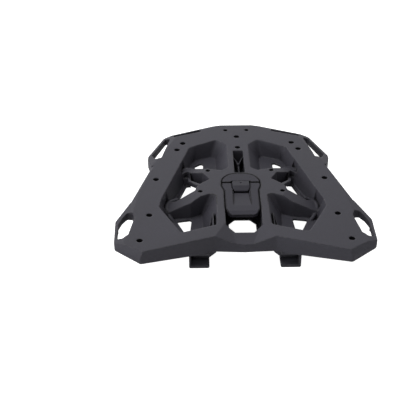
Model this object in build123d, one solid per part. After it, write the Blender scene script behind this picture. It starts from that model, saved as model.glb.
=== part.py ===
from build123d import *
from math import atan2, cos, degrees, hypot, radians, sin, tan
import os

# Quick-release mounting plate for a motorbike top case. A moulded plate carries
# two fixed hooks under its near edge and a sprung latch in its middle.
# Millimetres. X runs across the plate and 0 is its mirror plane, +Y runs away
# from the hooked edge, +Z is up, and the hooks stand on Z = 0.

# Plate outline
plate_width = 345.0
plate_depth = 335.0
deck_height = 48.0
near_corner_x = 136.0
near_corner_rise = 24.0
near_corner_nose = 0.44
fascia_peak_x = 40.0
fascia_peak_back = 33.0
fascia_centre_back = 30.5
loop_shoulder_back = 78.0
waist_near_x = 154.0
waist_near_back = 119.0
waist_far_x = 128.0
waist_far_front = 121.0
side_loop_near_front = 97.0
side_loop_x = 134.5
side_loop_far_front = 86.5
far_corner_x = 112.0
far_corner_front = 30.5
far_edge_half = 35.5
corner_round = 7.0

# Walls of the moulding
deck_wall = 4.0
skirt_wall = 3.5
well_wall = 3.0
rib_wall = 2.5
rib_depth = 13.0
boss_radius = 8.0
boss_depth = 15.0
skirt_near_depth = 25.5
skirt_corner_depth = 19.0
skirt_loop_depth = 14.0
skirt_far_depth = 15.0

# Sloping facets of the deck
loop_slope_rise = 4.5
loop_slope_reach = 15.0
waist_chamfer = 3.5
corner_chamfer_drop = 10.0
corner_chamfer_inset = 3.0
scoop_floor_half = 10.0
scoop_depth = 12.0
scoop_back_depth = 5.8

# Strap loops
near_loop_bar = 4.6
near_loop_round = 3.5
side_loop_bar = 5.5
far_slot_width = 7.0
far_slot_length = 46.0
far_loop_bar = 4.0
loop_wall = 2.6
loop_wall_depth = 13.5

# Pockets between the arms
rim_width = 41.0
upper_well_depth = 24.0
lower_well_depth = 30.0
recess_rim_depth = 7.0
upper_arm_drop = 13.5
lower_arm_drop = 18.5
spine_half = 15.8
rail_half = 35.5

# Fixing holes, from the plate's middle
case_hole = 8.4
arm_hole = 6.6
near_hole_x = 137.5
near_hole_y = -141.8
shoulder_hole_x = 127.0
shoulder_hole_y = -83.3
waist_hole_x = 120.3
waist_hole_y = 7.9
inner_hole_x = 91.1
inner_hole_y = 91.9
corner_hole_x = 82.5
corner_hole_y = 111.2
spine_hole_y = 97.7
spine_hole_pitch = 32.9
edge_hole_x = 16.4
edge_hole_y = 151.4
upper_arm_hole_x = 46.0
upper_arm_hole_y = 30.8
lower_arm_hole_x = 57.5
lower_arm_hole_y = -24.9
spine_slot_half = 7.6
spine_slot_near = 24.5
spine_slot_far = 88.0

# Latch well and its finger opening
seam_gap = 1.2
well_far_y = 23.3
cap_edge_y = -0.9
well_low_x = 24.6
well_chamfer = 12.0
lever_end_y = -83.0
finger_opening_half = 18.8
finger_opening_far = -50.5
finger_opening_chamfer = 8.0

# Latch parts
move_gap = 0.5
lever_far_y = -3.5
lever_shell = 3.0
lever_grip_drop = 6.0
lever_skirt_drop = 12.0
lever_taper_y = -45.0
lever_corner_x = 17.5
lever_corner_y = -70.0
channel_half = 12.3
channel_far_y = -22.0
channel_near_y = -62.0
lever_end_drop = 1.6
lever_end_run = 8.0
channel_depth = 3.6
channel_lean = radians(32)
web_top = 41.5
web_thickness = 3.0
web_half = 18.5
web_near_y = -25.0
pin_y = -8.5
pin_z = 41.5
pin_radius = 2.0
pin_run_fit = 0.05
pin_set_fit = 0.01
ear_radius = 3.2
ear_inner_x = 19.0
ear_outer_x = 23.0
knuckle_inner_x = 14.0
knuckle_radius = 4.0
finger_reach = 19.0
finger_tip_radius = 3.0
finger_thick = 3.0
finger_half = 5.0
lift_angle = 28.0

button_half = 12.1
button_near_y = -22.8
button_gap = 0.8
button_crown_y = -14.0
button_front_z = 46.9
button_far_y = -1.3
button_top = 50.0
button_under = 44.5
button_round = 1.4
dimple_radius = 1.4
stem_radius = 2.5
stem_y = -14.4
stem_fit = 0.2
stem_low = 35.6
clip_z = 37.4
clip_thick = 0.8
clip_radius = 4.0
spring_seat_depth = 2.5
button_spring_inner = 3.0
button_spring_outer = 4.4

cap_thick = 3.0
cap_gap_fit = 0.9
cap_bevel = 0.5
cap_notch_half = 14.0
cap_notch_y = 1.2
ledge_thick = 4.0
ledge_y = 3.2
cap_screw_x = 14.0
cap_screw_y = 11.0
small_screw = 1.5
small_head = 2.8
small_head_thick = 2.2

bolt_half = 11.0
bolt_slim_half = 8.0
bolt_near_y = -29.0
bolt_far_y = 12.0
bolt_low = 18.3
bolt_shoulder = 22.0
bolt_top = 25.6
claw_half = 8.0
claw_near_y = 4.0
claw_tip_y = 20.0
claw_tip_thick = 5.0
claw_ramp = 3.5
bolt_spring_x = 4.5
bolt_spring_z = 22.0
bolt_spring_radius = 2.3
bolt_spring_hole = 2.9
bolt_spring_length = 12.0
spring_wire = 0.5

housing_half = 37.0
housing_base = 3.0
housing_near_y = -45.0
housing_far_y = 25.0
housing_floor = 18.0
floor_window_half = 23.3
floor_window_near = -42.5
floor_window_far = 17.0
rail_wall = 4.0
rail_lip = 2.6
slide_fit = 0.4
housing_screw_x = 32.0
housing_screw_near = -38.0
housing_screw_far = 12.0
housing_boss = 4.2
screw_radius = 2.0
screw_head = 3.8
screw_head_thick = 2.0
screw_length = 14.0

# Hooks
hook_outer_x = 74.0
hook_inner_x = 47.0
hook_gusset = 9.0
hook_lip = 6.5
hook_lead = 9.0
hook_lead_drop = 3.0
hook_throat_depth = 15.0
hook_throat_height = 14.0
hook_back_wall = 5.0
hook_cheek = 2.4
hook_front_back = 28.5

far_slope_rise = 3.5
far_slope_reach = 11.0
rim_lift = 3.0
well_round = 4.0
outer_round = 2.5
end_bead = 2.8
ledge_bead = 2.3
arm_round = 1.0
rib_stand = 1.6
groove_depth = 4.5
spine_rib = 1.8
scoop_run = 20.0
well_near_y = -118.0

near_y = -plate_depth / 2
far_y = plate_depth / 2
half_width = plate_width / 2
deck_under = deck_height - deck_wall
lower_floor = deck_height - lower_well_depth
upper_floor = deck_height - upper_well_depth
hook_front_y = near_y + hook_front_back


def mirrored(points):
    """Closes a right-hand half outline with its mirror image across X = 0."""
    left = [(-x, y) for x, y in reversed(points) if x > 0]
    return points + left


def grown(points, amount):
    """Moves every side of a closed outline outwards by the amount."""
    count = len(points)
    area = sum(points[i - 1][0] * points[i][1] - points[i][0] * points[i - 1][1] for i in range(count))
    turn = 1 if area > 0 else -1
    lines = []
    for i in range(count):
        (x0, y0), (x1, y1) = points[i], points[(i + 1) % count]
        length = hypot(x1 - x0, y1 - y0)
        normal = (turn * (y1 - y0) / length, -turn * (x1 - x0) / length)
        lines.append((normal, normal[0] * x0 + normal[1] * y0 + amount))
    corners = []
    for i in range(count):
        (a, b), c = lines[i - 1]
        (d, e), f = lines[i]
        cross = a * e - b * d
        corners.append(((c * e - b * f) / cross, (a * f - c * d) / cross))
    return corners


def face_of(points, radii, z):
    """A flat face at height z whose corners are rounded as far as the sides allow."""
    count = len(points)
    if not isinstance(radii, list):
        radii = [radii] * count
    starts = []
    edges = []
    for i, (x, y) in enumerate(points):
        before = Vector(points[i - 1][0] - x, points[i - 1][1] - y)
        after = Vector(points[(i + 1) % count][0] - x, points[(i + 1) % count][1] - y)
        half = radians(before.get_angle(after)) / 2
        reach = min(radii[i] / tan(half), 0.46 * before.length, 0.46 * after.length)
        if radii[i] < 0.1 or half > 1.56:
            starts.append((Vector(x, y), Vector(x, y)))
            continue
        corner = Vector(x, y)
        middle = (before.normalized() + after.normalized()).normalized()
        radius = reach * tan(half)
        nearest = corner + middle * (radius / sin(half) - radius)
        first, last = corner + before.normalized() * reach, corner + after.normalized() * reach
        edges.append(ThreePointArc(first, nearest, last))
        starts.append((first, last))
    for i in range(count):
        edges.append(Line(starts[i - 1][1], starts[i][0]))
    return Pos(0, 0, z) * make_face(edges)


def prism(points, radius, z_low, z_high):
    """An upright solid on a rounded outline."""
    return extrude(face_of(points, radius, z_low), amount=z_high - z_low, dir=(0, 0, 1))


def well(top, floor, z_floor, z_top, radius, grow=0.0, lift=0.0):
    """A pocket whose straight-ruled walls run from its mouth to its floor."""
    steep = lift / (z_top - z_floor)
    mouth = [(tx + (tx - fx) * steep, ty + (ty - fy) * steep) for (tx, ty), (fx, fy) in zip(top, floor)]
    corner = 0 if grow else radius
    low = face_of(grown(floor, grow), corner, z_floor - grow)
    high = face_of(grown(mouth, grow), corner, z_top + lift)
    return loft([low, high], ruled=True)


def half_space(point, normal, size=600.0):
    """A big block whose lower face lies on the given plane."""
    block = Box(size, size, size, align=(Align.CENTER, Align.CENTER, Align.MIN))
    return Plane(origin=point, z_dir=normal) * block


def both(shape):
    """The shape and its mirror image across X = 0."""
    return Part() + shape + mirror(shape, about=Plane.YZ)


# Corner points of the plan, right-hand half
FAR_MID = (0.0, far_y)
FAR_END = (far_edge_half, far_y)
FAR_CORNER = (far_corner_x, far_y - far_corner_front)
SIDE_LOOP_FAR = (side_loop_x, far_y - side_loop_far_front)
SIDE_LOOP_NEAR = (side_loop_x, far_y - side_loop_near_front)
WAIST_FAR = (waist_far_x, far_y - waist_far_front)
WAIST_NEAR = (waist_near_x, near_y + waist_near_back)
LOOP_SHOULDER = (half_width, near_y + loop_shoulder_back)
SIDE_CORNER = (half_width - 1.5, near_y + near_corner_rise)
NEAR_CORNER = (near_corner_x, near_y - near_corner_nose)
FASCIA_PEAK = (fascia_peak_x, near_y + fascia_peak_back)
FASCIA_MID = (0.0, near_y + fascia_centre_back)

OUTLINE = [FAR_MID, FAR_END, FAR_CORNER, SIDE_LOOP_FAR, SIDE_LOOP_NEAR, WAIST_FAR, WAIST_NEAR,
           LOOP_SHOULDER, SIDE_CORNER, NEAR_CORNER, FASCIA_PEAK, FASCIA_MID]
OUTLINE_ROUNDS = [0, 30, corner_round, 9, 9, 5, 20, 10, 8, 4, 12, 0]


def waist_x(y):
    """Half width of the plate along its straight waist."""
    share = (y - WAIST_NEAR[1]) / (WAIST_FAR[1] - WAIST_NEAR[1])
    return WAIST_NEAR[0] + share * (WAIST_FAR[0] - WAIST_NEAR[0])


def rim_x(y):
    """Inner edge of the deck's side rim, parallel to the waist."""
    return waist_x(y) - rim_width


def plate_block(inset, z_low):
    """The plate's outer form, or with an inset the hollow under its skin."""
    sink = inset * deck_wall / skirt_wall
    points = grown(mirrored(OUTLINE)[1:], -inset)
    rounds = OUTLINE_ROUNDS[1:] + OUTLINE_ROUNDS[-2:0:-1]
    block = prism(points, 0 if inset else rounds, z_low, deck_height - sink)
    for start, end, rise, reach in FACET_LINES:
        block -= both(facet_cutter(start, end, rise, reach, sink))
    return block - both(corner_cutter(inset))


def outward(start, end):
    """Unit vector to the right of the way from start to end."""
    length = hypot(end[0] - start[0], end[1] - start[1])
    return ((end[1] - start[1]) / length, -(end[0] - start[0]) / length)


def facet_cutter(start, end, rise, reach, sink):
    """Removes what lies above a facet that falls away beyond a line on the deck."""
    slope = atan2(rise, reach)
    nx, ny = outward(start, end)
    normal = (nx * sin(slope), ny * sin(slope), cos(slope))
    return half_space((start[0], start[1], deck_height - sink), normal)


def corner_cutter(inset):
    """The steep chamfer along each near corner."""
    lean = atan2(corner_chamfer_inset, corner_chamfer_drop)
    nx, ny = outward(NEAR_CORNER, SIDE_CORNER)
    start = (NEAR_CORNER[0] - inset * nx, NEAR_CORNER[1] - inset * ny, deck_height - corner_chamfer_drop)
    return half_space(start, (nx * cos(lean), ny * cos(lean), sin(lean)))


def waist_bevel():
    """A triangular bar that bevels the straight waist between the loops."""
    nx, ny = outward(WAIST_NEAR, WAIST_FAR)
    run = hypot(WAIST_FAR[0] - WAIST_NEAR[0], WAIST_FAR[1] - WAIST_NEAR[1])
    end = Plane(origin=(*WAIST_NEAR, deck_height), x_dir=(nx, ny, 0), z_dir=(-ny, nx, 0))
    c = waist_chamfer
    section = make_face(Polyline((-c - 2, -2), (2, c + 2), (2, -2), close=True))
    return extrude(end * section, amount=run)


def skirt_trim():
    """What lies below the skirt: its lower edge rises to the sides and to the far end."""
    front = [
        (0, -40),
        (0, deck_height - skirt_near_depth),
        (FASCIA_PEAK[0] + 14, deck_height - skirt_near_depth + 0.6),
        (NEAR_CORNER[0], deck_height - skirt_corner_depth),
        (half_width, deck_height - skirt_loop_depth),
        (half_width + 20, deck_height - skirt_loop_depth),
        (half_width + 20, -40),
    ]
    low = make_face(Polyline(*mirrored(front), close=True))
    across = extrude(Plane.XZ * low, amount=plate_depth, both=True)
    side = [
        (near_y - 20, deck_height - skirt_near_depth),
        (near_y, deck_height - skirt_near_depth),
        (far_y, deck_height - skirt_far_depth),
        (far_y + 20, deck_height - skirt_far_depth),
        (far_y + 20, -40),
        (near_y - 20, -40),
    ]
    along = extrude(Plane.YZ * make_face(Polyline(*side, close=True)), amount=plate_width, both=True)
    return across + along


def scoop(sink):
    """The dished cut in the near edge: a ramp between two rising side facets."""
    foot = deck_height - scoop_depth - sink
    ramp_slope = (scoop_depth - scoop_back_depth) / scoop_run
    ramp = half_space((0, FASCIA_MID[1], foot), (0, -sin(ramp_slope), cos(ramp_slope)))
    low = Vector(scoop_floor_half, FASCIA_PEAK[1] - 1, foot)
    peak = Vector(FASCIA_PEAK[0], FASCIA_PEAK[1], deck_height - sink)
    corner = Vector(well_low_x, well_near_y + well_chamfer + 5, deck_height - sink)
    normal = (peak - low).cross(corner - low)
    side = half_space(low, normal if normal.Z > 0 else -normal)
    bounds = Box(2 * FASCIA_PEAK[0] + 4, 80, deck_height, align=(Align.CENTER, Align.CENTER, Align.MIN))
    cut = Pos(0, FASCIA_MID[1] + 20, 10) * bounds
    return cut & ramp & side & mirror(side, about=Plane.YZ)


def arm_top(outline, start, fall, grow):
    """What lies above an arm that falls from the deck to the side rim."""
    space = prism(grown(outline, grow), arm_round, lower_floor, deck_height + (0 if grow else rim_lift))
    slope = atan2(fall[2], hypot(fall[0], fall[1]))
    run = hypot(fall[0], fall[1])
    normal = (fall[0] / run * sin(slope), fall[1] / run * sin(slope), cos(slope))
    return space & half_space((*start, deck_height - grow), normal)


def pockets(grow=0.0):
    """Every pocket and arm top of the right-hand side, or with grow their skins."""
    lift = 0 if grow else rim_lift
    return [
        well(UPPER_MOUTH, UPPER_FLOOR, upper_floor, deck_height, well_round, grow, lift),
        well(LOWER_MOUTH, LOWER_FLOOR, lower_floor, deck_height, well_round, grow, lift),
        well(OUTER_MOUTH, OUTER_FLOOR, lower_floor, deck_height, outer_round, grow, lift),
        recess(grow, lift),
        arm_top(UPPER_ARM, UPPER_ARM_START, UPPER_ARM_FALL, grow),
        arm_top(LOWER_ARM, LOWER_ARM_START, LOWER_ARM_FALL, grow),
        arm_top(RIDGE, RIDGE_START, RIDGE_FALL, grow),
    ]


def bead(points, radius):
    """A rounded bar along a smooth line, right-hand half."""
    path = Spline(*points)
    return sweep(Plane(origin=path @ 0, z_dir=path % 0) * Circle(radius), path=path)


def recess_height(x, y, sink):
    """Height of the recess floor, which falls from the rib beside it to the hub."""
    x0, y0 = RECESS_MOUTH[-1]
    return deck_height - recess_rim_depth - sink + RECESS_SLOPE[0] * (x - x0) + RECESS_SLOPE[1] * (y - y0)


def recess(grow=0.0, lift=0.0):
    """The small pocket between the arms: straight-ruled walls down to its slanting floor."""
    high = grown(RECESS_MOUTH, grow)
    low = [(x, y, recess_height(x, y, grow)) for x, y in grown(RECESS_FLOOR, grow)]
    floor = make_face(Polyline(*low, close=True))
    return loft([floor, face_of(high, 0, deck_height + lift)], ruled=True)


def floor_holes():
    """The openings in the pocket floors of the right-hand side."""
    x0, y0 = RECESS_MOUTH[-1]
    normal = (-RECESS_SLOPE[0], -RECESS_SLOPE[1], 1)
    over_recess = half_space((x0, y0, recess_height(x0, y0, well_wall)), normal)
    return [
        prism(UPPER_HOLE, 3, upper_floor - 2 * well_wall, upper_floor + 2),
        prism(LOWER_HOLE, 3, lower_floor - 2 * well_wall, lower_floor + 2),
        prism(OUTER_HOLE, 0, lower_floor - 2 * well_wall, deck_height) - over_recess,
    ]


def latch_well(grow, z_low, z_high):
    """The well that holds the latch, from its outline in the deck."""
    points = grown(mirrored(WELL_OUTLINE), grow)
    rounds = WELL_ROUNDS + WELL_ROUNDS[::-1]
    return prism(points, [r + grow for r in rounds], z_low, z_high)


def latch_space():
    """What the latch well removes: the well, the seat of the cap and a window in the floor."""
    under_ledge = deck_height - cap_thick - ledge_thick
    near_part = block_between(-half_width, near_y, under_ledge - 1, half_width, ledge_y, deck_height + 5)
    window = block_between(-floor_window_half, floor_window_near, 0, floor_window_half, floor_window_far,
                           lower_floor + 1)
    return (latch_well(0, lower_floor, under_ledge) + (latch_well(0, lower_floor, deck_height + 5) & near_part)
            + latch_well(0, deck_height - cap_thick, deck_height + 5) + window)


def block_between(x0, y0, z0, x1, y1, z1):
    """A box from its lowest corner to its highest."""
    return Pos(x0, y0, z0) * Box(x1 - x0, y1 - y0, z1 - z0, align=(Align.MIN, Align.MIN, Align.MIN))


def housing_screw_spots():
    """Where the four screws of the latch housing stand."""
    return [(sx * housing_screw_x, y) for sx in (-1, 1) for y in (housing_screw_near, housing_screw_far)]


def upright(radius, x, y, z0, z1):
    """A round bar standing from z0 to z1."""
    return Pos(x, y, z0) * Cylinder(radius, z1 - z0, align=(Align.CENTER, Align.CENTER, Align.MIN))


def lying(radius, x0, x1, y, z):
    """A round bar along X from x0 to x1."""
    return Pos((x0 + x1) / 2, y, z) * Rot(0, 90, 0) * Cylinder(radius, x1 - x0)


def finger_opening():
    """The opening through the near end of the latch well."""
    half = [
        (finger_opening_half, finger_opening_far - 1.3 * finger_opening_chamfer),
        (finger_opening_half, well_near_y + well_chamfer),
        (finger_opening_half - 8, well_near_y + 2),
    ]
    points = [(finger_opening_half - finger_opening_chamfer, finger_opening_far)] + half
    return prism(mirrored(points), 3.5, 0, deck_height)


def holes():
    """Fixing holes with their pitch positions and radii, right-hand half."""
    pairs = [
        (near_hole_x, near_hole_y, case_hole),
        (shoulder_hole_x, shoulder_hole_y, case_hole),
        (waist_hole_x, waist_hole_y, case_hole),
        (inner_hole_x, inner_hole_y, case_hole),
        (corner_hole_x, corner_hole_y, case_hole),
        (edge_hole_x, edge_hole_y, arm_hole),
        (upper_arm_hole_x, upper_arm_hole_y, arm_hole),
        (lower_arm_hole_x, lower_arm_hole_y, arm_hole),
    ]
    single = [(0, spine_hole_y, case_hole), (0, spine_hole_y + spine_hole_pitch, case_hole)]
    return pairs + [(-x, y, d) for x, y, d in pairs] + single


def strap_slots():
    """The openings of the strap loops, right-hand half."""
    bar = near_loop_bar
    near_slot = [
        (LOOP_SHOULDER[0] - 22.5, LOOP_SHOULDER[1] + 14),
        (LOOP_SHOULDER[0] - 15, LOOP_SHOULDER[1] + 15),
        (LOOP_SHOULDER[0] - 8.5, LOOP_SHOULDER[1] + 3.5),
        (half_width - bar, LOOP_SHOULDER[1] - 9.5),
        (half_width - bar, SIDE_CORNER[1] + 9.5),
        (half_width - 12.5, SIDE_CORNER[1] + 8.5),
        (half_width - 19.5, SIDE_CORNER[1] + 15.5),
        (half_width - 26, LOOP_SHOULDER[1] + 1.5),
    ]
    side_slot = [
        (FAR_CORNER[0] - 10.5, FAR_CORNER[1] - 6),
        (FAR_CORNER[0] - 2.5, FAR_CORNER[1] - 6),
        (SIDE_LOOP_FAR[0] - side_loop_bar, SIDE_LOOP_FAR[1] + 1),
        (SIDE_LOOP_FAR[0] - 11.5, SIDE_LOOP_FAR[1] - 14.5),
        (SIDE_LOOP_FAR[0] - 20.5, SIDE_LOOP_FAR[1] - 11.5),
    ]
    ex, ey = outward(FAR_CORNER, FAR_END)
    tx, ty = -ey, ex
    inner = far_loop_bar + far_slot_width
    far_slot = []
    last = 13 + far_slot_length
    for along, depth in ((13, far_loop_bar), (last, far_loop_bar), (last, inner), (13, inner)):
        far_slot.append((FAR_CORNER[0] + tx * along - ex * depth, FAR_CORNER[1] + ty * along - ey * depth))
    return near_slot, side_slot, far_slot


def cross_ribs():
    """Stiffening ribs under the deck, from the pockets out to the skirt."""
    ribs = []
    z_mid = deck_under - rib_depth / 2
    for y in (-102, -50, -20, 35, 66, 86):
        length = rim_width + 6
        centre = (waist_x(y) + rim_x(y)) / 2
        ribs.append(Pos(centre, y, z_mid) * Box(length, rib_wall, rib_depth))
    for x in (20, 62, 88, 112):
        ribs.append(Pos(x, near_y + 40, z_mid) * Box(rib_wall, 80, rib_depth))
    for x in (34, 56):
        ribs.append(Pos(x, far_y - 40, z_mid) * Box(rib_wall, 72, rib_depth))
    return ribs


def slant_wall(depth):
    """All that lies above the slanting wall of the near pocket, sunk by the depth."""
    lean = (deck_height - lower_floor) / (LOWER_FLOOR[-1][0] - rail_half)
    sunk = depth * hypot(1, 1 / lean)
    return half_space((rail_half - sunk, 0, deck_height), (lean, 0, 1))


def wall_grooves(spread, depth):
    """Two narrow grooves in the slanting wall of the near pocket, or the thick wall behind them."""
    triangle = [(42.8, -78.0), (48.0, -101.0), (42.8, -103.0)]
    strip = [(37.3, -76.0), (39.6, -76.0), (39.6, -103.0), (37.3, -103.0)]
    both_grooves = prism(grown(triangle, spread), 0, lower_floor, deck_height - 2)
    both_grooves += prism(grown(strip, spread), 0, lower_floor, deck_height - 2)
    return both_grooves & slant_wall(depth)


def wall_ribs():
    """Two thin ribs that stand on the slanting wall between its openings."""
    straight = block_between(40.4, -105.0, lower_floor, 42.0, -70.0, deck_height)
    slanted = [(41.2, -70.0), (42.6, -70.0), (50.2, -105.0), (48.4, -105.0)]
    return (straight + prism(slanted, 0, lower_floor, deck_height)) - slant_wall(-rib_stand)


def spine_ribs():
    """The forked rib in the spine slot."""
    stem = block_between(-spine_rib / 2, spine_slot_near, upper_floor, spine_rib / 2, 64.0, upper_floor + 13)
    branch = [(-spine_rib / 2, 62.0), (spine_rib / 2, 62.0), (spine_slot_half, 84.0), (spine_slot_half, 87.5)]
    return stem + both(prism(branch, 0, upper_floor, upper_floor + 15))


def hook():
    """One C-shaped hook under the near edge, open towards the near side."""
    roof = hook_lip + hook_throat_height
    back = hook_front_y + hook_throat_depth
    profile = [
        (hook_front_y, 0),
        (back + hook_back_wall, 0),
        (back + hook_back_wall, deck_under),
        (back, deck_under),
        (back - 6, roof + 3),
        (hook_front_y, roof + 3),
        (hook_front_y, roof),
        (back, roof),
        (back, hook_lip),
        (hook_front_y + hook_lead, hook_lip),
        (hook_front_y, hook_lip - hook_lead_drop),
    ]
    face = Plane.YZ * make_face(Polyline(*profile, close=True))
    arm = Pos(hook_inner_x, 0, 0) * extrude(face, amount=hook_outer_x - hook_inner_x)
    cheek = [(hook_front_y, 0), (back + 1, 0), (back + 1, roof + 2), (hook_front_y, roof + 2)]
    side = Plane.YZ * make_face(Polyline(*cheek, close=True))
    arm += Pos(hook_outer_x - hook_cheek, 0, 0) * extrude(side, amount=hook_cheek)
    low_edges = arm.edges().filter_by(Axis.Y).group_by(Axis.Z)[0]
    arm = fillet(low_edges, 2.4)
    gusset = [
        (hook_inner_x + 1, roof - 8),
        (hook_inner_x + 1, deck_under),
        (hook_inner_x - hook_gusset, deck_under),
        (hook_inner_x - hook_gusset, roof + 1),
    ]
    web = Plane.XZ * make_face(Polyline(*gusset, close=True))
    arm += Pos(0, back + hook_back_wall, 0) * extrude(web, amount=hook_back_wall + hook_throat_depth - 5.5)
    return arm


def plate_body():
    """The one-piece moulding: deck, skirt, pockets, arms, loops and hooks."""
    inside = plate_block(0, -10)
    shell = inside - plate_block(skirt_wall, -10)
    skins = pockets(well_wall) + cross_ribs() + [wall_grooves(2.5, groove_depth + well_wall)]
    for outline in strap_slots():
        skins.append(prism(grown(outline, loop_wall), 0, deck_height - loop_wall_depth, deck_height - 1))
    top = deck_height - 1
    bosses = [upright(housing_boss, x, y, lower_floor - well_wall, top) for x, y in housing_screw_spots()]
    bosses += [upright(boss_radius, x, y, deck_height - boss_depth, top) for x, y, _ in holes()]
    right = Part() + skins
    spine = [(-spine_slot_half, spine_slot_near), (spine_slot_half, spine_slot_near),
             (spine_slot_half, spine_slot_far), (-spine_slot_half, spine_slot_far)]
    centre = prism(grown(spine, rib_wall), 2, upper_floor - rib_wall, deck_height)
    skin = (both(right) + bosses + centre + latch_well(well_wall, lower_floor - well_wall, deck_height)
            + scoop(deck_wall))
    body = shell - skirt_trim()
    body += skin & inside
    body += both(hook())
    for cutter in pockets():
        body -= both(cutter)
    for points, radius in ((UPPER_BEAD, end_bead), (OUTER_BEAD, ledge_bead), (LOWER_BEAD, end_bead)):
        body += both(bead(points, radius))
    for cutter in floor_holes() + [wall_grooves(0, groove_depth)]:
        body -= both(cutter)
    body += both(wall_ribs())
    for outline in strap_slots():
        body -= both(prism(outline, near_loop_round, 0, deck_height + 5))
    body -= both(waist_bevel())
    body -= prism(spine, 1.5, upper_floor, deck_height + 5)
    body += spine_ribs()
    body -= scoop(0)
    body -= latch_space()
    body -= finger_opening()
    for x, y in housing_screw_spots():
        body -= upright(screw_radius, x, y, 0, lower_floor - well_wall + screw_length)
    for x in (-cap_screw_x, cap_screw_x):
        body -= upright(small_screw + 0.2, x, cap_screw_y, lower_floor + 5, deck_height)
    body -= [Pos(x, y, deck_height) * Cylinder(d / 2, 2 * boss_depth + 4) for x, y, d in holes()]
    return body


def lever_outline(inset):
    """Plan of the release lever; an inset gives the hollow under its shell."""
    clear = seam_gap + inset
    half = [
        (28.3 - clear, lever_far_y - inset),
        (28.4 - clear, -11.3),
        (25.0 - clear, -23.6),
        (well_low_x - clear, lever_corner_y),
        (lever_corner_x - inset, lever_end_y + inset),
    ]
    return mirrored(half)


def thumb_channel():
    """The hollow in the lever's top: a floor that falls towards the button between leaning sides."""
    fall = atan2(channel_depth, channel_far_y - channel_near_y)
    above_floor = half_space((0, channel_near_y, deck_height), (0, sin(fall), cos(fall)))
    side = half_space((channel_half, 0, deck_height), (-cos(channel_lean), 0, sin(channel_lean)))
    space = block_between(-channel_half, channel_near_y, web_top - 2, channel_half, channel_far_y, deck_height + 3)
    return space & above_floor & side & mirror(side, about=Plane.YZ)


def release_lever():
    """The latch lever: a hollow shell with a web, two knuckles and a drive finger."""
    top = deck_height
    low = top - lever_skirt_drop
    rounds = [1.5, 5, 8, 9, 7, 7, 9, 8, 5, 1.5]
    shell = prism(lever_outline(0), rounds, low, top)
    shell = chamfer(shell.faces().sort_by(Axis.Z)[-1].edges(), 0.7)
    shell -= prism(lever_outline(lever_shell), rounds, low - 1, top - lever_shell)
    thick = block_between(-web_half, channel_near_y - 6, top - lever_grip_drop, web_half, web_near_y, top - 1)
    web = block_between(-web_half, web_near_y, web_top - web_thickness, web_half, lever_far_y - 0.8, web_top)
    shell += thick + web
    for side in (-1, 1):
        inner, outer = sorted((side * (ear_inner_x - 0.4), side * (ear_outer_x + 0.5)))
        shell -= block_between(inner, pin_y - 6, low - 1, outer, lever_far_y + 1, top - lever_shell)
    taper = atan2(lever_skirt_drop - lever_grip_drop, lever_taper_y - lever_end_y)
    shell -= half_space((0, lever_taper_y, low), (0, -sin(taper), -cos(taper)))
    shell -= prism(button_outline(button_gap), 3, web_top, top + 5)
    shell -= thumb_channel()
    slope = atan2(lever_end_drop, lever_end_run)
    shell -= half_space((0, lever_end_y + lever_end_run, top), (0, -sin(slope), cos(slope)))
    for side in (-1, 1):
        inner, outer = sorted((side * knuckle_inner_x, side * web_half))
        shell += lying(knuckle_radius, inner, outer, pin_y, pin_z)
        shell -= lying(pin_radius + pin_run_fit, inner - 1, outer + 1, pin_y, pin_z)
    tip_z = pin_z - finger_reach
    shell += block_between(-finger_half, pin_y - finger_thick / 2, tip_z, finger_half, pin_y + finger_thick / 2,
                           web_top - 1)
    shell += lying(finger_tip_radius, -finger_half, finger_half, pin_y, tip_z)
    shell -= upright(stem_radius + stem_fit, 0, stem_y, low, top)
    return shell


def button_outline(gap):
    """Plan of the lock button, wider by the gap for its pocket."""
    half = [
        (button_half + gap, button_far_y + 3 * gap),
        (button_half + gap, button_near_y + 6),
        (button_half - 2.5 + gap, button_near_y - gap),
    ]
    return mirrored(half)


def lock_button():
    """The push button in the lever, with its stem below."""
    body = prism(button_outline(0), 2.2, button_under, button_top)
    lean = atan2(button_top - button_front_z, button_crown_y - button_near_y)
    body -= half_space((0, button_crown_y, button_top), (0, -sin(lean), cos(lean)))
    top = body.faces().sort_by(Axis.Z)[-1]
    front = body.faces().filter_by(lambda face: 0.5 < face.normal_at().Z < 0.99).sort_by(SortBy.AREA)[-1]
    body = fillet(set(top.edges()) | set(front.edges()), button_round)
    body -= Pos(0, button_far_y - 5.5, button_top) * Sphere(dimple_radius)
    body -= upright(button_spring_outer + 0.4, 0, stem_y, button_under - 1, button_under + spring_seat_depth)
    body += upright(stem_radius, 0, stem_y, stem_low, button_under + spring_seat_depth + 0.5)
    groove = upright(stem_radius + 1, 0, stem_y, clip_z, clip_z + clip_thick) - upright(
        stem_radius - 0.7, 0, stem_y, clip_z, clip_z + clip_thick)
    return body - groove


def button_clip():
    """A snap ring in the groove of the button's stem."""
    ring = upright(clip_radius, 0, stem_y, clip_z, clip_z + clip_thick) - upright(
        stem_radius - 0.7, 0, stem_y, clip_z, clip_z + clip_thick)
    return ring - block_between(-1.6, stem_y - 9, clip_z - 1, 1.6, stem_y, clip_z + 2)


def coil(radius, wire, length, turns):
    """A round coil spring standing on the origin, with square wire."""
    path = Helix(pitch=length / turns, height=length, radius=radius)
    section = Plane(origin=path @ 0, x_dir=(1, 0, 0), z_dir=path % 0) * Rectangle(wire, wire)
    return sweep(section, path=path, is_frenet=True)


def button_spring():
    """The spring that lifts the lock button."""
    middle = (button_spring_inner + button_spring_outer) / 2
    wire = button_spring_outer - button_spring_inner - 0.7
    length = button_under + spring_seat_depth - web_top - wire
    return Pos(0, stem_y, web_top + wire / 2) * coil(middle, wire, length, 3)


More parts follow.
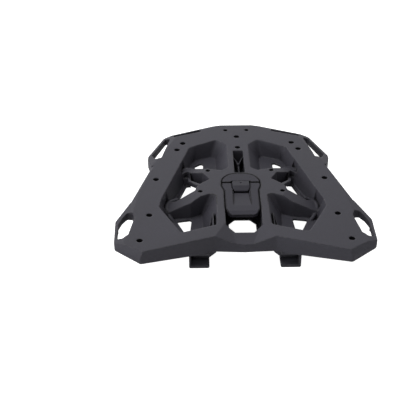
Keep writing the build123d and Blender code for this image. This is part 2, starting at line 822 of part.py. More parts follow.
def bolt_springs():
    """Two springs that push the claw bolt home."""
    springs = Part()
    for x in (-bolt_spring_x, bolt_spring_x):
        start = floor_window_near + rail_wall
        springs += Pos(x, start + spring_wire, bolt_spring_z) * Rot(-90, 0, 0) * coil(
            bolt_spring_radius - spring_wire / 2, spring_wire, bolt_spring_length - 2 * spring_wire, 4)
    return springs


def latch_bolt():
    """The sliding claw: a shouldered slide with a window, an arm and a hooked tip."""
    body = block_between(-bolt_half, bolt_near_y, bolt_low, bolt_half, bolt_far_y, bolt_shoulder)
    body += block_between(-bolt_slim_half, bolt_near_y, bolt_low, bolt_slim_half, bolt_far_y, bolt_top)
    arm = [
        (claw_near_y, bolt_shoulder),
        (claw_near_y, 0),
        (claw_tip_y - claw_ramp, 0),
        (claw_tip_y, claw_ramp),
        (claw_tip_y, claw_tip_thick),
        (bolt_far_y, claw_tip_thick),
        (bolt_far_y, bolt_shoulder),
    ]
    face = Plane.YZ * make_face(Polyline(*arm, close=True))
    body += extrude(face, amount=claw_half, both=True)
    near = pin_y - finger_tip_radius - move_gap
    far = pin_y + finger_tip_radius + move_gap
    half = finger_half + move_gap
    body -= block_between(-half, near, bolt_low - 1, half, far, bolt_top + 1)
    reach = finger_reach * sin(radians(lift_angle))
    depth = floor_window_near + rail_wall + bolt_spring_length + reach + 1.0
    for x in (-bolt_spring_x, bolt_spring_x):
        hole = Pos(x, bolt_near_y, bolt_spring_z) * Rot(-90, 0, 0) * Cylinder(
            bolt_spring_hole, depth - bolt_near_y, align=(Align.CENTER, Align.CENTER, Align.MIN))
        body -= hole
    return body


def latch_housing():
    """The tray under the latch: base, guide rails, spring wall and the lever's ears."""
    base_top = lower_floor - well_wall
    base_low = base_top - housing_base
    body = block_between(-housing_half, housing_near_y, base_low, housing_half, housing_far_y, base_top)
    body = chamfer(body.edges().filter_by(Axis.Z), 5)
    lip_low = bolt_shoulder + move_gap
    lip_top = lip_low + rail_lip
    wide = bolt_half + slide_fit
    slim = bolt_slim_half + slide_fit
    outer = wide + rail_wall
    near, far = floor_window_near + rail_wall, floor_window_far
    body += block_between(-outer, floor_window_near + 0.3, base_low, outer, far - 0.3, lip_top)
    body -= block_between(-wide, near, housing_floor, wide, far, lip_low)
    body -= block_between(-slim, near, lip_low - 1, slim, far, lip_top + 1)
    body -= block_between(-wide, pin_y + finger_tip_radius + 6, lip_low - 1, wide, far, lip_top + 1)
    for side in (-1, 1):
        inner, ear = sorted((side * ear_inner_x, side * ear_outer_x))
        body += block_between(inner, pin_y - 4.5, base_low, ear, pin_y + 4.5, pin_z - 5)
        body += block_between(inner, pin_y - ear_radius, pin_z - 8, ear, pin_y + ear_radius, pin_z)
        body += lying(ear_radius, inner, ear, pin_y, pin_z)
        foot0, foot1 = sorted((side * outer, side * ear_outer_x))
        body += block_between(foot0, pin_y - 4.5, housing_floor, foot1, pin_y + 4.5, housing_floor + 2.5)
        body -= lying(pin_radius + pin_set_fit, inner - 1, ear + 1, pin_y, pin_z)
    slot_near = claw_near_y - finger_reach * sin(radians(lift_angle)) - 1.0
    slot_half = claw_half + move_gap
    body -= block_between(-slot_half, slot_near, 0, slot_half, claw_tip_y + 1.0, housing_floor + 9)
    for x, y in housing_screw_spots():
        body -= upright(screw_radius + 0.2, x, y, 0, base_top + 1)
        body -= upright(screw_head + 0.3, x, y, 0, base_low + screw_head_thick - 0.5)
    return body


def screw(x, y, seat, radius, head, head_thick, length):
    """A pan-head screw driven upwards into its seat, with a hexagon socket."""
    body = upright(head, x, y, seat - head_thick, seat) + upright(radius, x, y, seat, seat + length)
    socket = Pos(x, y, seat - head_thick) * extrude(RegularPolygon(head * 0.45, 6), amount=head_thick * 0.6)
    return body - socket


def housing_screws():
    """The four screws of the latch housing."""
    seat = lower_floor - well_wall - housing_base + screw_head_thick - 0.5
    return Part() + [screw(x, y, seat, screw_radius - 0.02, screw_head, screw_head_thick, screw_length)
                     for x, y in housing_screw_spots()]


def cap_screws():
    """The two small screws that hold the cap from below."""
    seat = deck_height - cap_thick - ledge_thick
    return Part() + [screw(x, cap_screw_y, seat, small_screw - 0.02, small_head, small_head_thick,
                           ledge_thick + cap_thick - 1.2) for x in (-cap_screw_x, cap_screw_x)]


def latch_cap():
    """The half-round cover at the far end of the latch."""
    rounds = WELL_ROUNDS + WELL_ROUNDS[::-1]
    low, middle, high = deck_height - cap_thick, deck_height - cap_bevel, deck_height
    wide = grown(mirrored(WELL_OUTLINE), -cap_gap_fit)
    narrow = grown(mirrored(WELL_OUTLINE), -cap_gap_fit - cap_bevel)
    plan = prism(wide, rounds, low, middle)
    plan += loft([face_of(wide, rounds, middle), face_of(narrow, rounds, high)], ruled=True)
    cap = plan & block_between(-half_width, cap_edge_y, 0, half_width, well_far_y, deck_height)
    notch = [
        (cap_notch_y + cap_edge_y - 8, deck_height + 1),
        (cap_notch_y, deck_height + 1),
        (cap_notch_y, deck_height - 1.5),
        (cap_notch_y + 3, deck_height - 4.5),
        (cap_notch_y + cap_edge_y - 8, deck_height - 4.5),
    ]
    face = Plane.YZ * make_face(Polyline(*notch, close=True))
    cap -= extrude(face, amount=cap_notch_half, both=True)
    for x in (-cap_screw_x, cap_screw_x):
        cap -= upright(small_screw, x, cap_screw_y, deck_height - cap_thick - 1, deck_height - 1)
    return cap


def hinge_pins():
    """The two stub pins on which the lever turns."""
    pins = Part()
    for side in (-1, 1):
        inner, outer = sorted((side * knuckle_inner_x, side * ear_outer_x))
        pins += lying(pin_radius, inner, outer, pin_y, pin_z)
    return pins


FACET_LINES = [
    ((half_width - loop_slope_reach, SIDE_CORNER[1]), (WAIST_NEAR[0] - 8, WAIST_NEAR[1]),
     loop_slope_rise, loop_slope_reach),
    ((WAIST_FAR[0] - 1, WAIST_FAR[1]), (FAR_CORNER[0] - 16, FAR_CORNER[1] - 13),
     loop_slope_rise, loop_slope_reach),
    ((FAR_CORNER[0] - 14, FAR_CORNER[1] - 5), (FAR_END[0], FAR_END[1] - 5.5),
     far_slope_rise, far_slope_reach),
]

WELL_OUTLINE = [(9.5, well_far_y), (20.6, well_far_y - 6.1), (27.6, well_far_y - 17.6), (28.4, -11.0),
                (25.0, -23.5), (well_low_x, well_near_y + well_chamfer), (well_low_x - well_chamfer, well_near_y)]
WELL_ROUNDS = [24.0, 27.0, 27.0, 5.0, 5.0, 2.0, 2.0]

UPPER_MOUTH = [(spine_half, 106.6), (31.1, 121.3), (rim_x(98.6), 98.6), (rim_x(60), 60),
               (63.8, 47.6), (46.3, 36.1), (25.8, 31.0), (spine_half, 39.3)]
UPPER_FLOOR = [(33.0, 101.0), (37.0, 111.0), (rim_x(98.6) - 6.0, 99.0), (rim_x(60) - 4.7, 58.0),
               (64.0, 50.5), (46.5, 39.5), (36.0, 37.0), (33.0, 44.0)]
LOWER_MOUTH = [(rail_half, -34.0), (44.0, -31.0), (71.0, -44.5), (rim_x(-46), -46.0), (114.3, -63.3),
               (84.2, -125.2), (38.5, -108.1), (rail_half, -104.0)]
LOWER_FLOOR = [(55.5, -39.5), (58.0, -39.8), (71.0, -47.5), (rim_x(-46) - 7, -51.0), (105.5, -62.0),
               (80.5, -115.0), (54.0, -106.0), (53.0, -101.0)]
OUTER_MOUTH = [(76.5, 44.0), (rim_x(46), 46.0), (rim_x(-27), -27.0), (92.0, -31.0), (64.7, -20.5),
               (60.5, -8.0), (75.5, 20.5)]
OUTER_FLOOR = [(74.0, 39.0), (rim_x(46) - 7, 40.0), (rim_x(-27) - 7, -25.0), (91.0, -28.5), (66.0, -17.5),
               (62.5, -7.0), (73.0, 20.0)]
RECESS_MOUTH = [(43.5, 7.6), (53.5, 26.0), (73.0, 40.0), (71.5, 21.5), (57.5, -5.5)]
RECESS_FLOOR = [(45.5, 8.0), (55.0, 25.0), (70.5, 36.0), (69.8, 21.5), (57.2, -2.5)]
RECESS_SLOPE = (0.43, -0.6)
UPPER_HOLE = [(52.2, 93.5), (64.3, 83.8), (68.0, 60.0), (53.0, 52.0)]
LOWER_HOLE = [(91.2, -54.9), (70.0, -50.9), (73.0, -90.0), (77.0, -91.0)]
OUTER_HOLE = [(72.5, 37.5), (77.3, 36.5), (93.0, -16.0), (88.0, -22.5), (67.0, -13.5), (60.5, -8.0),
              (52.0, 3.0), (60.0, 26.0)]

UPPER_ARM_START = (48.0, 32.0)
UPPER_ARM_FALL = (33.0, 20.0, upper_arm_drop)
UPPER_ARM = [(47.0, 42.0), (50.0, 20.0), (77.5, 36.0), (rim_x(45), 45.0), (rim_x(62), 62.0), (64.0, 54.0)]
LOWER_ARM_START = (60.0, -27.0)
LOWER_ARM_FALL = (43.0, -10.0, lower_arm_drop)
LOWER_ARM = [(58.0, -16.0), (92.0, -24.0), (rim_x(-22), -22.0), (rim_x(-48), -48.0), (71.0, -50.0),
             (54.0, -40.0)]
RIDGE_START = (58.5, -7.5)
RIDGE_FALL = (22.0, 50.0, 19.5)
RIDGE = [(56.8, -5.2), (61.5, -9.3), (77.5, 20.0), (81.5, 44.0), (76.5, 46.5), (72.5, 40.0), (70.0, 22.0)]
UPPER_BEAD = [(66.0, 53.5, 35.5), (75.0, 58.0, 33.5), (81.0, 58.0, 32.5), (84.0, 53.0, 30.5),
              (82.0, 46.0, 21.0)]
OUTER_BEAD = [(81.5, 47.0, 21.5), (82.5, 36.0, 18.5), (90.0, 10.0, 18.5), (98.5, -20.0, 18.5)]
LOWER_BEAD = [(88.0, -24.8, 34.0), (96.0, -22.5, 30.5), (102.5, -25.5, 28.5), (105.5, -34.5, 27.5),
              (103.0, -46.0, 24.5), (94.0, -56.5, 16.5)]

os.makedirs("parts", exist_ok=True)
nodes = {
    "plate_body": plate_body,
    "latch_cap": latch_cap,
    "release_lever": release_lever,
    "lock_button": lock_button,
    "button_spring": button_spring,
    "button_clip": button_clip,
    "hinge_pins": hinge_pins,
    "latch_bolt": latch_bolt,
    "bolt_springs": bolt_springs,
    "latch_housing": latch_housing,
    "housing_screws": housing_screws,
    "cap_screws": cap_screws,
}
for name, make in nodes.items():
    export_step(make(), "parts/" + name + ".step")
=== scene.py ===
"""Looks of a top case mounting plate: moulded plastic, worked metal and a plain studio.

Lengths are metres, apart from the fixing holes, the black linings that paint shade into them and
the button's spring, which are written in millimetres and become metres where their mesh is made.
"""

import bpy
import numpy as np
from mathutils import Matrix, Vector


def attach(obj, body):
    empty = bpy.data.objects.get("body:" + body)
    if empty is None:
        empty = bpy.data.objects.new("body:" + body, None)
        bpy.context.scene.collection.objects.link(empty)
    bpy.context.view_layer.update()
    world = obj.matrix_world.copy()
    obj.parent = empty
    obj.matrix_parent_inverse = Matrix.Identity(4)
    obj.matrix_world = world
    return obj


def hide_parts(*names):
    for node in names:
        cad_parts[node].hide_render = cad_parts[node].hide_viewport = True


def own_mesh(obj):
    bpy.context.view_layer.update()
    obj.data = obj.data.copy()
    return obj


# Camera: its place, its three directions in the plate's frame, its lens and sensor in millimetres
CAMERA_PLACE = (-0.06774, -1.12069, 0.74509)
CAMERA_RIGHT = (0.999912, -0.012206, -0.005201)
CAMERA_UP = (0.011009, 0.544553, 0.838654)
CAMERA_BACK = (-0.007404, -0.838638, 0.544639)
CAMERA_LENS = 83.61
CAMERA_SENSOR = 36.0
CAMERA_SIGHT = 50.0

# Light: strength of the room, how white gloss mirrors the room and the floor,
# then each lamp's name, place, width and power
ROOM_LIGHT = 0.24
MIRRORED_ROOM = 0.7
MIRRORED_FLOOR = 0.2
LAMPS = (
    ("key", (-0.8, 0.0, 2.2), 1.2, 25.0),
    ("sheen", (-0.3, 2.4, 0.8), 2.6, 17.0),
    ("fill", (-1.2, -1.7, 0.9), 1.4, 3.0),
    ("left", (-2.2, -0.5, 0.35), 1.2, 24.0),
    ("right", (2.2, -0.2, 0.5), 1.2, 5.0),
)

# Floor: a square sheet of paper a little below the plate's feet
FLOOR_HALF = 6.0
FLOOR_DROP = 0.0005
PAPER = (0.8, 0.8, 0.8, 1.0)
PAPER_ROUGHNESS = 0.9
WHITE = (1.0, 1.0, 1.0, 1.0)

# Colours of the plastics and the metals
PLATE_PLASTIC = (0.0505, 0.0490, 0.0610, 1.0)
LATCH_PLASTIC = (0.0395, 0.0380, 0.0495, 1.0)
BUTTON_PLASTIC = (0.0330, 0.0318, 0.0415, 1.0)
HOUSING_PLASTIC = (0.03, 0.03, 0.032, 1.0)
# Black for the hole linings: painted shade
HOLE_SHADE_BLACK = (0.004, 0.004, 0.005, 1.0)
PLAIN_PLASTIC = (0.04, 0.04, 0.042, 1.0)
# Lighter colour on edges: partly rubbed wear, partly a painted highlight
RUBBED_AND_HIGHLIT_PLASTIC = (0.12, 0.12, 0.125, 1.0)
PLATED_STEEL = (0.55, 0.55, 0.56, 1.0)
SPRING_STEEL = (0.4, 0.4, 0.42, 1.0)
TARNISH = (0.22, 0.2, 0.18, 1.0)

# Moulding: waves per metre of its flow marks and scuffs, the part of a noise that shows,
# and the tones that flow marks, grain and the painted shade in crevices give it
FLOW_SCALE = 14.0
SCUFF_SCALE = 160.0
NOISE_SPAN = (0.3, 0.7)
SCUFF_SPAN = (0.4, 0.62)
FLOW_TONES = (0.9, 1.1)
GRAIN_TONES = (0.86, 1.14)
CREVICE_SPAN = (0.28, 0.6)
CREVICE_SHADE_TONES = (0.1, 1.0)
CREVICE_SAMPLES = 8
GLOSS_SWING = 0.16
RUBBED_RISE = 0.6

# Edges: cosine of the turn of the rounded normal where rubbing with its painted highlight and
# where a seam's line of painted shade begins and is complete
RUB_AND_HIGHLIGHT_TURN = (0.995, 0.86)
SEAM_TURN = (0.997, 0.97)
EDGE_SAMPLES = 6

# Latch well: its middle along Y, the half axes of an ellipse about it, and where that fades;
# the painted shade line on the plate's edges stays inside it
WELL_CENTRE = -0.028
WELL_REACH = (0.044, 0.055)
WELL_FADE = (1.0, 0.92)

# Metalwork: waves per metre of its stains, the part of them that shows, its polish and edges
STAIN_SCALE = 120.0
STAIN_SPAN = (0.45, 0.75)
METAL_ROUGHNESS = 0.22
METAL_SWING = 0.25
METAL_EDGE = 0.0003
METAL_SAMPLES = 4

# Fixing holes of the right-hand half and the middle: x, y and radius in millimetres
HOLES = (
    (137.5, -141.8, 4.2), (127.0, -83.3, 4.2), (120.3, 7.9, 4.2), (91.1, 91.9, 4.2), (82.5, 111.2, 4.2),
    (16.4, 151.4, 3.3), (46.0, 30.8, 3.3), (57.5, -24.9, 3.3), (0.0, 97.7, 4.2), (0.0, 130.6, 4.2),
)

# Black linings that paint shade into those holes, in millimetres: upper and lower end, gap to the hole,
# and wall
SLEEVE_TOP = 47.4
SLEEVE_FOOT = 33.5
SLEEVE_FIT = 0.03
SLEEVE_WALL = 0.4

# Spring under the lock button, in millimetres; its ends lie flat over a share of its length
SPRING_FOOT = 41.55
SPRING_HEIGHT = 5.35
SPRING_Y = -14.4
SPRING_RADIUS = 3.7
SPRING_WIRE = 0.7
SPRING_TURNS = 3.5
SPRING_FLAT = 0.12


def node(tree, kind, place=(0, 0), **settings):
    """Adds a node and sets its plain properties."""
    made = tree.nodes.new(kind)
    made.location = place
    for name, value in settings.items():
        setattr(made, name, value)
    return made


def feed(tree, source, socket):
    """Gives a socket a number, or links it to another node's output."""
    if isinstance(source, (int, float)):
        socket.default_value = source
    else:
        tree.links.new(source, socket)


def math(tree, operation, first, second, place):
    """The result of a math node on two sockets or numbers."""
    made = node(tree, "ShaderNodeMath", place, operation=operation)
    feed(tree, first, made.inputs[0])
    feed(tree, second, made.inputs[1])
    return made.outputs[0]


def noise(tree, where, scale, detail, roughness, place):
    """A cloudy pattern on the given coordinates."""
    made = node(tree, "ShaderNodeTexNoise", place)
    made.inputs["Detail"].default_value = detail
    made.inputs["Roughness"].default_value = roughness
    tree.links.new(where, made.inputs["Vector"])
    feed(tree, scale, made.inputs["Scale"])
    return made.outputs["Fac"]


def remap(tree, value, span, place, result=(0.0, 1.0)):
    """Carries a value from its span to the result's two ends and holds it there beyond them."""
    made = node(tree, "ShaderNodeMapRange", place)
    made.inputs["From Min"].default_value, made.inputs["From Max"].default_value = span
    made.inputs["To Min"].default_value, made.inputs["To Max"].default_value = result
    tree.links.new(value, made.inputs["Value"])
    return made.outputs["Result"]


def blend(tree, share, first, second, place):
    """The first colour turned into the second by a share."""
    made = node(tree, "ShaderNodeMix", place, data_type="RGBA")
    tree.links.new(share, made.inputs["Factor"])
    tree.links.new(first, made.inputs[6])
    tree.links.new(second, made.inputs[7])
    return made.outputs[2]


def new_group(name, inputs):
    """An empty effect group; inputs are (name, type, default), outputs are the same for all."""
    group = bpy.data.node_groups.new(name, "ShaderNodeTree")
    for label, kind, default in inputs:
        socket = group.interface.new_socket(label, in_out="INPUT", socket_type=kind)
        socket.default_value = default
    outputs = (("Base Color", "NodeSocketColor"), ("Roughness", "NodeSocketFloat"),
               ("Bump Height", "NodeSocketFloat"), ("Normal", "NodeSocketVector"))
    for label, kind in outputs:
        group.interface.new_socket(label, in_out="OUTPUT", socket_type=kind)
    enter = node(group, "NodeGroupInput", (-1200, 0))
    leave = node(group, "NodeGroupOutput", (600, 0))
    return group, enter.outputs, leave.inputs


def rounded_edges(tree, radius):
    """The normal of edges rounded to a radius, and the cosine of its turn from the flat face's."""
    bevel = node(tree, "ShaderNodeBevel", (-900, -1000), samples=EDGE_SAMPLES)
    tree.links.new(radius, bevel.inputs["Radius"])
    flat = node(tree, "ShaderNodeNewGeometry", (-900, -1200))
    turn = node(tree, "ShaderNodeVectorMath", (-700, -1000), operation="DOT_PRODUCT")
    tree.links.new(bevel.outputs["Normal"], turn.inputs[0])
    tree.links.new(flat.outputs["Normal"], turn.inputs[1])
    return bevel.outputs["Normal"], turn.outputs["Value"]


def near_well(tree, where):
    """A mask, 1 over the latch well and 0 outside an ellipse about it, that holds the painted seam
    shade.
    """
    centred = node(tree, "ShaderNodeMapping", (-1000, 700))
    centred.inputs["Location"].default_value = (0.0, -WELL_CENTRE / WELL_REACH[1], 0.0)
    centred.inputs["Scale"].default_value = (1.0 / WELL_REACH[0], 1.0 / WELL_REACH[1], 0.0)
    tree.links.new(where, centred.inputs["Vector"])
    apart = node(tree, "ShaderNodeVectorMath", (-800, 700), operation="LENGTH")
    tree.links.new(centred.outputs["Vector"], apart.inputs[0])
    return remap(tree, apart.outputs["Value"], WELL_FADE, (-600, 700))


def seam_shade_line(tree, turn, where, enter):
    """A mask of painted shade along a piece's edges, or along the plate's edges at the well, for the
    shade in the seams.
    """
    rim = remap(tree, turn, SEAM_TURN, (-500, 300))
    well = math(tree, "MULTIPLY", near_well(tree, where), enter["Well Line"], (-400, 600))
    share = math(tree, "ADD", well, enter["Seam Line"], (-400, 400))
    return math(tree, "MULTIPLY", rim, share, (-300, 300))


def moulding_group():
    """A matt moulding with grain, flow marks, rubbed edges with a painted highlight, painted shade in
    crevices and painted shade along seams.
    """
    tree, enter, leave = new_group("moulding", (
        ("Colour", "NodeSocketColor", PLAIN_PLASTIC),
        ("Wear Colour", "NodeSocketColor", RUBBED_AND_HIGHLIT_PLASTIC),
        ("Gloss", "NodeSocketFloat", 0.5),
        ("Grain Scale", "NodeSocketFloat", 1400.0),
        ("Wear", "NodeSocketFloat", 0.5),
        ("Edge Radius", "NodeSocketFloat", 0.0008),
        ("Crevice Reach", "NodeSocketFloat", 0.008),
        ("Seam Line", "NodeSocketFloat", 0.0),
        ("Well Line", "NodeSocketFloat", 0.0),
    ))
    where = node(tree, "ShaderNodeTexCoord", (-1200, -400)).outputs["Object"]
    grain = noise(tree, where, enter["Grain Scale"], 3.0, 0.62, (-900, 200))
    flow = noise(tree, where, FLOW_SCALE, 4.0, 0.5, (-900, -100))
    scuff = noise(tree, where, SCUFF_SCALE, 6.0, 0.7, (-900, -700))

    # Rubbed edges, lighter as wear and as a painted highlight, broken up by scuffs
    normal, turn = rounded_edges(tree, enter["Edge Radius"])
    edge = remap(tree, turn, RUB_AND_HIGHLIGHT_TURN, (-500, -1000))
    broken = remap(tree, scuff, SCUFF_SPAN, (-500, -700))
    rubbed_and_highlit = math(tree, "MULTIPLY", edge, broken, (-300, -900))
    rubbed_and_highlit = math(tree, "MULTIPLY", rubbed_and_highlit, enter["Wear"], (-150, -900))

    # Tone: flow marks by grain by the painted shade of crevices by what the painted seam shade leaves
    marks = remap(tree, flow, NOISE_SPAN, (-500, -100), FLOW_TONES)
    speck = remap(tree, grain, NOISE_SPAN, (-500, 200), GRAIN_TONES)
    tone = math(tree, "MULTIPLY", marks, speck, (-300, 50))
    # Painted shade: the colour darkens where ambient occlusion finds crevices, holes and gaps
    crevice = node(tree, "ShaderNodeAmbientOcclusion", (-900, 450), samples=CREVICE_SAMPLES)
    tree.links.new(enter["Crevice Reach"], crevice.inputs["Distance"])
    painted_crevice_shade = remap(tree, crevice.outputs["AO"], CREVICE_SPAN, (-500, 450), CREVICE_SHADE_TONES)
    tone = math(tree, "MULTIPLY", tone, painted_crevice_shade, (-150, 200))
    # Painted shade: the colour darkens along edges that border seams, widening the seam's shadow
    line = seam_shade_line(tree, turn, where, enter)
    beside = math(tree, "SUBTRACT", 1.0, line, (-150, 300))
    tone = math(tree, "MULTIPLY", tone, beside, (0, 200))
    tinted = node(tree, "ShaderNodeVectorMath", (-100, 100), operation="SCALE")
    tree.links.new(enter["Colour"], tinted.inputs[0])
    tree.links.new(tone, tinted.inputs["Scale"])
    colour = blend(tree, rubbed_and_highlit, tinted.outputs[0], enter["Wear Colour"], (150, 100))
    tree.links.new(colour, leave["Base Color"])

    # Roughness: what the gloss leaves, with flow marks, and duller in crevices
    rough = math(tree, "SUBTRACT", 1.0, enter["Gloss"], (-300, -300))
    swing = math(tree, "MULTIPLY", flow, GLOSS_SWING, (-300, -450))
    rough = math(tree, "ADD", rough, swing, (-100, -300))
    rough = math(tree, "SUBTRACT", rough, GLOSS_SWING / 2, (50, -300))
    occluded_share = math(tree, "SUBTRACT", 1.0, painted_crevice_shade, (50, -400))
    rough = math(tree, "ADD", rough, occluded_share, (200, -350))
    tree.links.new(rough, leave["Roughness"])

    raised = math(tree, "MULTIPLY", rubbed_and_highlit, RUBBED_RISE, (0, -600))
    height = math(tree, "ADD", grain, raised, (200, -500))
    tree.links.new(height, leave["Bump Height"])
    tree.links.new(normal, leave["Normal"])
    return tree


def metal_group():
    """Small plated or bare metal parts with fine scratches and tarnish."""
    tree, enter, leave = new_group("metalwork", (
        ("Colour", "NodeSocketColor", PLATED_STEEL),
        ("Tarnish", "NodeSocketColor", TARNISH),
        ("Scale", "NodeSocketFloat", 900.0),
    ))
    where = node(tree, "ShaderNodeTexCoord", (-1200, -400)).outputs["Object"]
    scratches = noise(tree, where, enter["Scale"], 5.0, 0.5, (-900, 200))
    clouds = noise(tree, where, STAIN_SCALE, 4.0, 0.5, (-900, -100))
    stain = remap(tree, clouds, STAIN_SPAN, (-500, -100))
    colour = blend(tree, stain, enter["Colour"], enter["Tarnish"], (150, 100))
    tree.links.new(colour, leave["Base Color"])
    swing = math(tree, "MULTIPLY", scratches, METAL_SWING, (-300, -300))
    rough = math(tree, "ADD", swing, METAL_ROUGHNESS, (-100, -300))
    tree.links.new(rough, leave["Roughness"])
    tree.links.new(scratches, leave["Bump Height"])
    bevel = node(tree, "ShaderNodeBevel", (-900, -1000), samples=METAL_SAMPLES)
    bevel.inputs["Radius"].default_value = METAL_EDGE
    tree.links.new(bevel.outputs["Normal"], leave["Normal"])
    return tree


def surface(name, group, metallic, shine, relief, depth, **values):
    """A material fed by one effect group, with its grain raised by relief to a depth."""
    material = bpy.data.materials.new(name)
    material.use_nodes = True
    tree = material.node_tree
    shader = tree.nodes["Principled BSDF"]
    effect = node(tree, "ShaderNodeGroup", (-700, 0), node_tree=group)
    for label, value in values.items():
        effect.inputs[label.replace("_", " ")].default_value = value
    bump = node(tree, "ShaderNodeBump", (-350, -300))
    bump.inputs["Strength"].default_value = relief
    bump.inputs["Distance"].default_value = depth
    tree.links.new(effect.outputs["Bump Height"], bump.inputs["Height"])
    tree.links.new(effect.outputs["Normal"], bump.inputs["Normal"])
    tree.links.new(effect.outputs["Base Color"], shader.inputs["Base Color"])
    tree.links.new(effect.outputs["Roughness"], shader.inputs["Roughness"])
    tree.links.new(bump.outputs["Normal"], shader.inputs["Normal"])
    shader.inputs["Metallic"].default_value = metallic
    shader.inputs["Specular IOR Level"].default_value = shine
    return material


def plate_plastic(moulding):
    """The big moulding: matt, rubbed and painted with a highlight at its edges, with painted shade
    round the latch well.
    """
    return surface("plate_plastic_worked", moulding, 0.0, 0.22, 0.3, 0.0002, Colour=PLATE_PLASTIC,
                   Wear=0.65, Gloss=0.42, Edge_Radius=0.0026, Well_Line=0.94)


def latch_plastic(moulding):
    """Lever and cap: the same plastic, little handled, with painted shade along the seams round them.
    """
    return surface("latch_plastic_worked", moulding, 0.0, 0.17, 0.22, 0.0002, Colour=LATCH_PLASTIC,
                   Wear=0.0, Gloss=0.42, Edge_Radius=0.0024, Seam_Line=0.94)


def button_plastic(moulding):
    """The lock button, a little smoother than the lever."""
    return surface("button_plastic_worked", moulding, 0.0, 0.18, 0.12, 0.0001, Colour=BUTTON_PLASTIC,
                   Gloss=0.5, Grain_Scale=2200.0, Edge_Radius=0.0012)


def housing_plastic(moulding):
    """The tray and the claw under the deck."""
    return surface("housing_plastic_worked", moulding, 0.0, 0.3, 0.2, 0.0002, Colour=HOUSING_PLASTIC,
                   Gloss=0.4)


def hole_shade_plastic(moulding):
    """Painted shade: the black, dull linings of the fixing holes."""
    return surface("hole_shade_lining", moulding, 0.0, 0.05, 0.2, 0.0002, Colour=HOLE_SHADE_BLACK,
                   Wear=0.0, Gloss=0.2)


def piece(name, points, faces, material, body, finish):
    """A mesh object from points in millimetres, riding one body of the plate."""
    mesh = bpy.data.meshes.new(name)
    mesh.from_pydata((points / 1000.0).tolist(), [], faces)
    mesh.materials.append(material)
    mesh.polygons.foreach_set("use_smooth", np.ones(len(mesh.polygons), bool))
    made = bpy.data.objects.new(name, mesh)
    bpy.context.scene.collection.objects.link(made)
    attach(made, body)
    return made


def hole_shade_surface(segments=48):
    """Black linings of the fixing holes, painted shade where the holes are deep.

    Each is a ring: for the angle u, the profile's four corners (radius, z) stand at
    (x + radius cos u, y + radius sin u, z), from the outer foot over the top to the inner foot.
    """
    holes = np.array(HOLES)
    holes = np.vstack([holes, holes[holes[:, 0] > 0] * (-1, 1, 1)])
    outer = holes[:, 2] - SLEEVE_FIT
    radius = np.stack([outer, outer, outer - SLEEVE_WALL, outer - SLEEVE_WALL], axis=1)
    height = np.array([SLEEVE_FOOT, SLEEVE_TOP, SLEEVE_TOP, SLEEVE_FOOT])
    angle = np.linspace(0.0, 2.0 * np.pi, segments, endpoint=False)
    points = np.empty((len(holes), segments, 4, 3))
    points[..., 0] = holes[:, 0, None, None] + radius[:, None, :] * np.cos(angle)[None, :, None]
    points[..., 1] = holes[:, 1, None, None] + radius[:, None, :] * np.sin(angle)[None, :, None]
    points[..., 2] = height
    index = np.arange(points[..., 0].size).reshape(points.shape[:3])
    along = np.roll(index, -1, axis=1)
    quads = np.stack([index, along, np.roll(along, -1, axis=2), np.roll(index, -1, axis=2)], axis=-1)
    return points.reshape(-1, 3), quads.reshape(-1, 4).tolist()


def spring_surface(steps=160, sides=12):
    """The button's spring with closed ends.

    The wire's middle runs at (R cos t, R sin t) and climbs evenly with t, apart from the flat
    share at either end; round it stands a circle in the plane of the radius and Z.
    """
    share = np.linspace(0.0, 1.0, steps)
    turn = 2.0 * np.pi * SPRING_TURNS * share
    climb = np.clip((share - SPRING_FLAT) / (1.0 - 2.0 * SPRING_FLAT), 0.0, 1.0)
    height = SPRING_FOOT + SPRING_WIRE / 2 + (SPRING_HEIGHT - SPRING_WIRE) * climb
    side = np.linspace(0.0, 2.0 * np.pi, sides, endpoint=False)
    reach = SPRING_RADIUS + SPRING_WIRE / 2 * np.cos(side)[None, :]
    points = np.empty((steps, sides, 3))
    points[..., 0] = reach * np.cos(turn)[:, None]
    points[..., 1] = SPRING_Y + reach * np.sin(turn)[:, None]
    points[..., 2] = height[:, None] + SPRING_WIRE / 2 * np.sin(side)[None, :]
    index = np.arange(steps * sides).reshape(steps, sides)
    near, far = index[:-1], index[1:]
    quads = np.stack([near, far, np.roll(far, -1, axis=1), np.roll(near, -1, axis=1)], axis=-1)
    ends = [index[0].tolist(), index[-1, ::-1].tolist()]
    return points.reshape(-1, 3), quads.reshape(-1, 4).tolist() + ends


def dress(frame):
    """Gives each node of the frame its worked surface and adds the spring and black hole linings of
    painted shade.
    """
    moulding = moulding_group()
    metalwork = metal_group()
    latch = latch_plastic(moulding)
    hidden = housing_plastic(moulding)
    steel = surface("steel_worked", metalwork, 1.0, 0.5, 0.1, 0.0001)
    wire = surface("spring_steel_worked", metalwork, 1.0, 0.5, 0.1, 0.0001, Colour=SPRING_STEEL)
    looks = {
        "plate_body": plate_plastic(moulding),
        "latch_cap": latch,
        "release_lever": latch,
        "lock_button": button_plastic(moulding),
        "latch_bolt": hidden,
        "latch_housing": hidden,
        "hinge_pins": steel,
        "button_clip": steel,
        "housing_screws": steel,
        "cap_screws": steel,
        "button_spring": wire,
        "bolt_springs": wire,
    }
    for name, material in looks.items():
        mesh = frame["nodes"][name].data
        for index in range(len(mesh.materials)):
            mesh.materials[index] = material

    # Black sleeves in the fixing holes paint the shade of deep holes
    piece("hole_shade_sleeves", *hole_shade_surface(), hole_shade_plastic(moulding), "plate", "housing_plastic")
    spring = piece("button_coil", *spring_surface(), wire, "lever", "spring_steel")
    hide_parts("button_spring")
    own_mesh(spring)


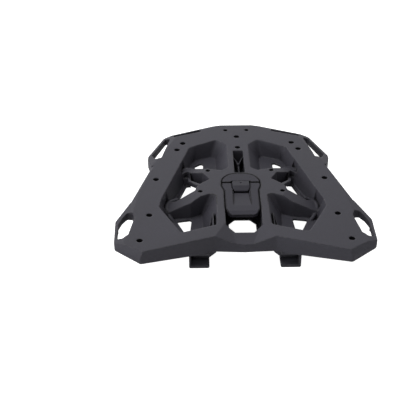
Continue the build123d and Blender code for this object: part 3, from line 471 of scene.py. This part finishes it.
def add_floor():
    """A paper floor that shades the plate but shows plain white, and dimly in gloss."""
    corners = [(-FLOOR_HALF, -FLOOR_HALF, 0), (FLOOR_HALF, -FLOOR_HALF, 0),
               (FLOOR_HALF, FLOOR_HALF, 0), (-FLOOR_HALF, FLOOR_HALF, 0)]
    mesh = bpy.data.meshes.new("floor")
    mesh.from_pydata(corners, [], [(0, 1, 2, 3)])
    floor = bpy.data.objects.new("floor", mesh)
    floor.location.z = -FLOOR_DROP
    bpy.context.scene.collection.objects.link(floor)
    material = bpy.data.materials.new("floor_paper")
    material.use_nodes = True
    tree = material.node_tree
    shader = tree.nodes["Principled BSDF"]
    shader.inputs["Base Color"].default_value = PAPER
    shader.inputs["Roughness"].default_value = PAPER_ROUGHNESS
    shader.inputs["Specular IOR Level"].default_value = 0.0
    shader.inputs["Emission Color"].default_value = WHITE
    rays = node(tree, "ShaderNodeLightPath", (-700, -300))
    mirrored = math(tree, "MULTIPLY", rays.outputs["Is Glossy Ray"], MIRRORED_FLOOR, (-400, -400))
    shown = math(tree, "ADD", rays.outputs["Is Camera Ray"], mirrored, (-200, -300))
    tree.links.new(shown, shader.inputs["Emission Strength"])
    mesh.materials.append(material)


def light_room():
    """A soft room: white to the camera, paler grey in gloss, and dim as light on the plate."""
    world = bpy.context.scene.world or bpy.data.worlds.new("studio")
    bpy.context.scene.world = world
    world.use_nodes = True
    tree = world.node_tree
    back = tree.nodes["Background"]
    back.inputs["Color"].default_value = WHITE
    rays = node(tree, "ShaderNodeLightPath", (-900, 0))
    shown = math(tree, "MULTIPLY", rays.outputs["Is Camera Ray"], 1.0 - ROOM_LIGHT, (-700, 100))
    added = MIRRORED_ROOM - ROOM_LIGHT
    mirrored = math(tree, "MULTIPLY", rays.outputs["Is Glossy Ray"], added, (-700, -100))
    both = math(tree, "ADD", shown, mirrored, (-500, 0))
    strength = math(tree, "ADD", both, ROOM_LIGHT, (-300, 0))
    tree.links.new(strength, back.inputs["Strength"])


def hang_lamps():
    """Square lamps that all face the middle of the plate."""
    for name, place, width, power in LAMPS:
        lamp = bpy.data.lights.new(name, "AREA")
        lamp.energy = power
        lamp.size = width
        holder = bpy.data.objects.new(name, lamp)
        holder.location = place
        holder.rotation_mode = "QUATERNION"
        holder.rotation_quaternion = Vector(place).to_track_quat("Z", "Y")
        bpy.context.scene.collection.objects.link(holder)


def set_camera():
    """The camera that sees the plate from its near edge, with colours shown as they are."""
    lens = bpy.data.cameras.new("camera")
    lens.lens = CAMERA_LENS
    lens.sensor_width = CAMERA_SENSOR
    lens.clip_end = CAMERA_SIGHT
    camera = bpy.data.objects.new("camera", lens)
    rows = zip(CAMERA_RIGHT, CAMERA_UP, CAMERA_BACK, CAMERA_PLACE)
    camera.matrix_world = Matrix([tuple(row) for row in rows] + [(0.0, 0.0, 0.0, 1.0)])
    bpy.context.scene.collection.objects.link(camera)
    bpy.context.scene.camera = camera
    bpy.context.scene.view_settings.view_transform = "Standard"


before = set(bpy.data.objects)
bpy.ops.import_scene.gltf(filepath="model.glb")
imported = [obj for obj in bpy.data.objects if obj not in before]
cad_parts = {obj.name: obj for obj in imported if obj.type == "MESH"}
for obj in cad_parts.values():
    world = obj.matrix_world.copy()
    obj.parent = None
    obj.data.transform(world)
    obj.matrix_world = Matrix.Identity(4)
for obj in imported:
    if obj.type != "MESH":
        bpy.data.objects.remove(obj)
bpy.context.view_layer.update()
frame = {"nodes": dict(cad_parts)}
dress(frame)
add_floor()
light_room()
hang_lamps()
set_camera()
